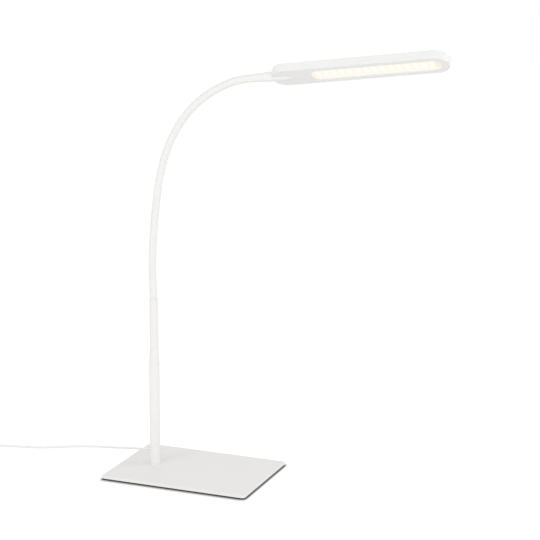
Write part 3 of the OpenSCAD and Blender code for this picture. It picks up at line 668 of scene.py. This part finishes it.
def addFrosted(name):
    frosted = blankMaterial(name)
    tree = frosted.node_tree
    where = addNode(tree, "ShaderNodeTexCoord", {}).outputs["Object"]
    along, across = addNode(tree, "ShaderNodeSeparateXYZ", {0: where}).outputs[:2]
    firstLed = head["windowStart"] + head["ledStart"]
    halfRow = head["ledPitch"] * (head["ledCount"] - 1) / 2
    # distances from the nearest LED along the head, or past the row's end, and across it
    fromFirst = addNode(tree, "ShaderNodeMath", {0: along, 1: firstLed * mm}, operation="SUBTRACT")
    toNearest = addNode(tree, "ShaderNodeMath", {0: fromFirst.outputs[0], 1: head["ledPitch"] / 2 * mm},
                        operation="PINGPONG")
    offMiddle = addNode(tree, "ShaderNodeMath", {0: fromFirst.outputs[0], 1: halfRow * mm},
                        operation="SUBTRACT")
    fromMiddle = addNode(tree, "ShaderNodeMath", {0: offMiddle.outputs[0]}, operation="ABSOLUTE")
    pastRow = addNode(tree, "ShaderNodeMath", {0: fromMiddle.outputs[0], 1: halfRow * mm},
                      operation="SUBTRACT")
    alongSpot = addNode(tree, "ShaderNodeMath", {0: toNearest.outputs[0], 1: pastRow.outputs[0]},
                        operation="MAXIMUM")
    offSpots = addNode(tree, "ShaderNodeMath", {0: across, 1: glow["offCentre"] * mm},
                       operation="SUBTRACT")
    acrossSpot = addNode(tree, "ShaderNodeMath", {0: offSpots.outputs[0]}, operation="ABSOLUTE")
    fades = []
    for distance, size, blur in ((alongSpot, glow["spotLength"], glow["lengthBlur"]),
                                 (acrossSpot, glow["spotWidth"], glow["widthBlur"])):
        fades.append(addNode(tree, "ShaderNodeMapRange", {
            0: distance.outputs[0], 1: (size - blur) / 2 * mm, 2: (size + blur) / 2 * mm, 3: 1.0, 4: 0.0},
            interpolation_type="SMOOTHSTEP"))
    spot = addNode(tree, "ShaderNodeMath", {0: fades[0].outputs[0], 1: fades[1].outputs[0]},
                   operation="MULTIPLY")
    colour = linear(glow["between"])
    for led, way, shade in ((firstLed, -1, glow["start"]), (firstLed + 2 * halfRow, 1, glow["end"])):
        past = addNode(tree, "ShaderNodeMapRange", {
            0: along, 1: led * mm, 2: (led + way * head["ledPitch"] / 2) * mm, 3: 0.0, 4: 1.0})
        colour = addNode(tree, "ShaderNodeMix", {0: past.outputs[0], 6: colour, 7: linear(shade)},
                         data_type="RGBA").outputs[2]
    edge = addNode(tree, "ShaderNodeMapRange", {
        0: across, 1: glow["edgeStart"] * mm, 2: glow["edgeFull"] * mm, 3: 0.0, 4: 1.0})
    colour = addNode(tree, "ShaderNodeMix", {0: edge.outputs[0], 6: colour, 7: linear(glow["edge"])},
                     data_type="RGBA").outputs[2]
    lit = addNode(tree, "ShaderNodeMix", {0: spot.outputs[0], 6: colour, 7: linear(glow["spot"])},
                  data_type="RGBA")
    grain = addNode(tree, "ShaderNodeTexNoise", {"Scale": 1 / (glow["grain"] * mm), "Detail": 2.0})
    frost = addNode(tree, "ShaderNodeBump", {
        "Height": grain.outputs[0], "Distance": glow["grainDepth"] * mm})
    shader = addNode(tree, "ShaderNodeBsdfPrincipled", {
        "Base Color": linear(glow["body"]), "Roughness": glow["roughness"], "IOR": glow["ior"],
        "Normal": frost.outputs[0], "Emission Color": lit.outputs[2], "Emission Strength": glow["level"]})
    addNode(tree, "ShaderNodeOutputMaterial", {"Surface": shader.outputs[0]})
    return frosted


# polycarbonate, extruded and frosted, lit from behind: pale soft patches over a warmer glow
frostedPlastic = addFrosted("frostedPolycarbonate")

tipPlace = Matrix.Translation(tipFoot * mm) @ turned(leans[links], "Y")
headAxis = (tipPlace @ shifted(0, 0, head["tipLength"] + head["gap"] + head["bossOut"])
            @ turned(-90, "Y") @ turned(-head["roll"], "X"))
headPlace = headAxis @ shifted(0, 0, -head["axisHeight"])
alongHead = turned(90, "Y")
bossPlace = headAxis @ shifted(-head["bossOut"], 0, 0) @ alongHead
keyPlace = headPlace @ shifted(head["keyAt"], 0, 0)

tipLength, studRadius, studBore = head["tipLength"], head["studRadius"], head["studBore"]
spigotRadius, spigotFoot = neck["radius"] - neck["wall"] - fit, -neck["spigot"]
studFloor = tipLength - head["studHold"]
upperFerrule = addPiece("upper_ferrule_coated", [(hoops(rounded([
    (studBore, spigotFoot), (spigotRadius, spigotFoot), (spigotRadius, 0),
    (neck["radius"] + fit, 0, fine), (head["bossRadius"] - head["tipTaper"], tipLength, crisp),
    (studRadius + fit, tipLength), (studRadius + fit, studFloor), (studBore, studFloor)]), 72), True)],
    powderCoat, "steel_painted", tipPlace)
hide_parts("upper_ferrule")
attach(smooth(upperFerrule), bodies[links])

roofUnder = head["thickness"] - head["roof"]
headOutline = stadium(head["length"], head["width"], 0)


def bossLoops(grow, cut=0):
    # the boss, grown by a clearance; as a cutter it is longer by cut at its open end
    r, point = head["bossRadius"] + grow, head["axisHeight"] + head["bossPoint"] + grow
    length = head["bossOut"] + head["bossIn"]
    rim = (r, -cut) if cut else (r, 0, crisp)
    return hoops(rounded([(0, -cut), rim, (r, length - head["bossTaper"]), (point, length), (0, length)],
                         4, False), 96)


def aboveRoof(width, start):
    # cutter for everything above the roof's underside
    return addCutter(stacked(stadium(head["length"], width, start), [(0, roofUnder), (0, 20)]), headPlace)


headBoss = addPiece("head_boss_coated", [(bossLoops(0), False)], mouldedAbs, "head_plastic", bossPlace)
subtract(headBoss,
         aboveRoof(head["width"] + 2 * fit, -fit),
         drill(studRadius + fit, -head["bossOut"] - 1, head["studEnd"], headAxis @ alongHead),
         drill(head["pocketRadius"], head["pocketStart"], head["pocketStart"] + head["pocketLength"],
               headAxis @ alongHead),
         drill(studBore, head["leadStart"], head["leadEnd"], headAxis @ alongHead))

headTop, headWall, headCap = head["thickness"], head["wall"], head["capInset"]
shellSections = rounded([
    (headCap, headTop), (0, headTop, head["edge"]), (0, 0, head["rim"]), (headWall, 0, crisp),
    (headWall, roofUnder), (headCap, roofUnder)], 5, False)
headShell = addPiece("head_shell_moulded", [(stacked(headOutline, shellSections), False)],
                     mouldedAbs, "head_plastic", headPlace)
bossSlot = addCutter(bossLoops(fit, 2), bossPlace)
subtract(bossSlot, aboveRoof(60, -20))  # wider than the head, so the slot stops under the whole roof
subtract(headShell, bossSlot, drill(head["keyRadius"] + head["keyGap"], 5, 12, keyPlace, 64))

coverTop, coverInset = head["cover"], headWall + head["coverGap"]
window = stadium(head["windowLength"], head["windowWidth"], head["windowStart"])
rimSections = rounded([
    (coverInset, head["coverEdgeTop"]), (coverInset, 0, head["coverEdge"]), (coverInset + 1, 0)], 3, False)
windowSections = rounded([(-1, 0), (0, 0, soft), (0, head["windowEdge"])], 4, False)
coverLoops = (stacked(headOutline, rimSections) + stacked(window, windowSections)
              + [window(0, coverTop), headOutline(coverInset, coverTop)])
bottomCover = addPiece("bottom_cover_shaded_etched", [(coverLoops, True)], shadedEtchedAbs, "head_plastic", headPlace)
subtract(bottomCover, addCutter(bossLoops(head["coverGap"], 2), bossPlace))

diffuserTop = coverTop + head["diffuser"]
diffuserOutline = stadium(head["windowLength"] + 2 * head["lap"], head["windowWidth"] + 2 * head["lap"],
                          head["windowStart"] - head["lap"])
diffuserSections = rounded([
    (headCap, coverTop), (0, coverTop, crisp), (0, diffuserTop, crisp), (headCap, diffuserTop)], 2, False)
diffuser = addPiece("diffuser_frosted", [(stacked(diffuserOutline, diffuserSections), False)],
                    frostedPlastic, "diffuser", headPlace)

key, flangeTop, dishSteps = head["keyRadius"], head["keyFlange"], head["keyDishSteps"]
flangeRadius, dishRadius = key + head["keyFlangeWide"], key * head["keyDishShare"]
keyTop = flangeTop + head["roof"] - head["keySunk"]
dish = [(dishRadius * (1 - i / dishSteps), keyTop - head["keyDish"] * (1 - (1 - i / dishSteps) ** 2))
        for i in range(1, dishSteps + 1)]
touchKey = addPiece("touch_key_polished", [(hoops(rounded([
    (0, 0), (flangeRadius, 0), (flangeRadius, flangeTop), (key, flangeTop), (key, keyTop, head["keyEdge"]),
    (dishRadius, keyTop, fine), *dish], 4, False), 72), False)], polishedAbs, "key_plastic",
    headPlace @ shifted(head["keyAt"], 0, roofUnder - flangeTop))
for piece, replaced in ((headBoss, "head_boss"), (headShell, "head_shell"), (bottomCover, "bottom_cover"),
                        (diffuser, "diffuser"), (touchKey, "touch_key")):
    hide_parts(replaced)
    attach(smooth(piece), "head")
print("head made")

# Finishes for the inner parts, which keep their CAD shape
for finish, names in (
        (zincPlate, ("base_screw", "stem_plug", "stem_bush", "swivel_stud", "swivel_washer", "swivel_nut")),
        (softPvc, ("stem_lead",)), (redPvc, ("head_lead",)), (whiteMask, ("led_strip",)),
        (phosphor, ("led_chips",)), (sheetAluminium, ("heat_spreader",)),
        (greenMask, ("control_board", "adapter_board")), (blackEpoxy, ("control_parts",)),
        (drawnBrass, ("touch_spring",))):
    for name in names:
        for materialSlot in nodes[name].material_slots:
            materialSlot.material = finish
print("inner parts finished")

# Floor and the light from all sides
studio = {
    "around": 0.752,      # level of the light from all sides
    "floor": "#F4F4F2",
    "floorRadius": 6,     # metres
    "floorWhite": 0.75,   # how far the floor shows as white paper to viewers
    "floorLevel": 1.15,
    "floorGap": 0.03,     # keeps the paper's face clear of the faces that rest on it
    "paintedShadowReach": 8,    # of the painted contact shadow on the floor under the base's edge
    "paintedShadowDepth": 4.5,
    "paintedShadowShift": 0.6,  # towards the head, where the painted shadow is wider
    "paintedShadowFade": (2.8, 22),  # how far from the plate's ends and its long sides the painted shadow is gone
}


def whiteForViewers(tree):
    # 1 where the camera sees the thing, directly, in a reflection or through glass
    rays = addNode(tree, "ShaderNodeLightPath", {}).outputs
    seen = addNode(tree, "ShaderNodeMath", {0: rays["Is Camera Ray"], 1: rays["Is Glossy Ray"]},
                   operation="MAXIMUM")
    return addNode(tree, "ShaderNodeMath", {0: seen.outputs[0], 1: rays["Is Transmission Ray"]},
                   operation="MAXIMUM").outputs[0]


world = bpy.data.worlds.new("studio")
world.use_nodes = True
skyTree = world.node_tree
skyTree.nodes.clear()
skyLevel = addNode(skyTree, "ShaderNodeMapRange", {
    0: whiteForViewers(skyTree), 3: studio["around"], 4: 1.0})
sky = addNode(skyTree, "ShaderNodeBackground", {
    "Color": (1, 1, 1, 1), "Strength": skyLevel.outputs[0]})
addNode(skyTree, "ShaderNodeOutputWorld", {"Surface": sky.outputs[0]})
scene.world = world


def addPaper(name):
    # white paper that takes the shadow, with a painted contact shadow close to the base's edge; clear from
    # below
    paper = blankMaterial(name)
    tree = paper.node_tree
    sheet = addNode(tree, "ShaderNodeBsdfDiffuse", {"Color": linear(studio["floor"])})
    where = addNode(tree, "ShaderNodeTexCoord", {}).outputs["Object"]
    along, across = addNode(tree, "ShaderNodeSeparateXYZ", {0: where}).outputs[:2]
    fadeAlong, fadeAcross = studio["paintedShadowFade"]
    depth = studio["paintedShadowDepth"]
    for position, middle, size, fade in (
            (along, plateCentre + studio["paintedShadowShift"], base["length"], fadeAlong),
            (across, 0, base["width"], fadeAcross)):
        offset = addNode(tree, "ShaderNodeMath", {0: position, 1: middle * mm}, operation="SUBTRACT")
        away = addNode(tree, "ShaderNodeMath", {0: offset.outputs[0]}, operation="ABSOLUTE")
        depth = addNode(tree, "ShaderNodeMapRange", {
            0: away.outputs[0], 1: size / 2 * mm, 2: (size / 2 + fade) * mm, 3: depth, 4: 0.0}).outputs[0]
    # painted contact shadow: the white that viewers see is darkened by occlusion, only near the base plate
    near = addNode(tree, "ShaderNodeAmbientOcclusion", {"Distance": studio["paintedShadowReach"] * mm})
    contact = addNode(tree, "ShaderNodeMath", {0: near.outputs["AO"], 1: depth}, operation="POWER")
    level = addNode(tree, "ShaderNodeMath", {0: contact.outputs[0], 1: studio["floorLevel"]},
                    operation="MULTIPLY")
    white = addNode(tree, "ShaderNodeEmission", {"Color": (1, 1, 1, 1), "Strength": level.outputs[0]})
    share = addNode(tree, "ShaderNodeMath", {0: whiteForViewers(tree), 1: studio["floorWhite"]},
                    operation="MULTIPLY")
    both = addNode(tree, "ShaderNodeMixShader", {
        0: share.outputs[0], 1: sheet.outputs[0], 2: white.outputs[0]})
    under = addNode(tree, "ShaderNodeNewGeometry", {}).outputs["Backfacing"]
    clear = addNode(tree, "ShaderNodeBsdfTransparent", {})
    oneSided = addNode(tree, "ShaderNodeMixShader", {0: under, 1: both.outputs[0], 2: clear.outputs[0]})
    addNode(tree, "ShaderNodeOutputMaterial", {"Surface": oneSided.outputs[0]})
    return paper


floorMesh = bpy.data.meshes.new("floor")
floorForm = bmesh.new()
bmesh.ops.create_circle(floorForm, cap_ends=True, radius=studio["floorRadius"], segments=96)
floorForm.to_mesh(floorMesh)
floorForm.free()
floorMesh.materials.append(addPaper("matPaper"))
floorPiece = bpy.data.objects.new("floor", floorMesh)
floorPiece.location.z = -studio["floorGap"] * mm
scene.collection.objects.link(floorPiece)

# Lamps, with places and sizes in metres and power in watts
lamps = {
    "right": {"place": (1.9, -0.7, 1.3), "size": 1.0, "power": 2.5},
    "left": {"place": (-0.65, -1.9, 1.3), "size": 1.0, "power": 8.1},
    "front": {"place": (0.8, -1.8, 0.6), "size": 1.0, "power": 5.7},
    "back": {"place": (1.9, 0.75, 1.0), "size": 1.0, "power": 6.7},
}
lampAim = Vector((0, 0, 0.2))
for name, lamp in lamps.items():
    lampData = bpy.data.lights.new(name, "AREA")
    lampData.shape = "DISK"
    lampData.size = lamp["size"]
    lampData.energy = lamp["power"]
    lampPiece = bpy.data.objects.new(name, lampData)
    lampPiece.location = lamp["place"]
    lampPiece.rotation_euler = (lampAim - lampPiece.location).to_track_quat("-Z", "Y").to_euler()
    lampPiece.visible_camera = False
    scene.collection.objects.link(lampPiece)
scene.view_settings.view_transform = "Standard"
print("studio lit")
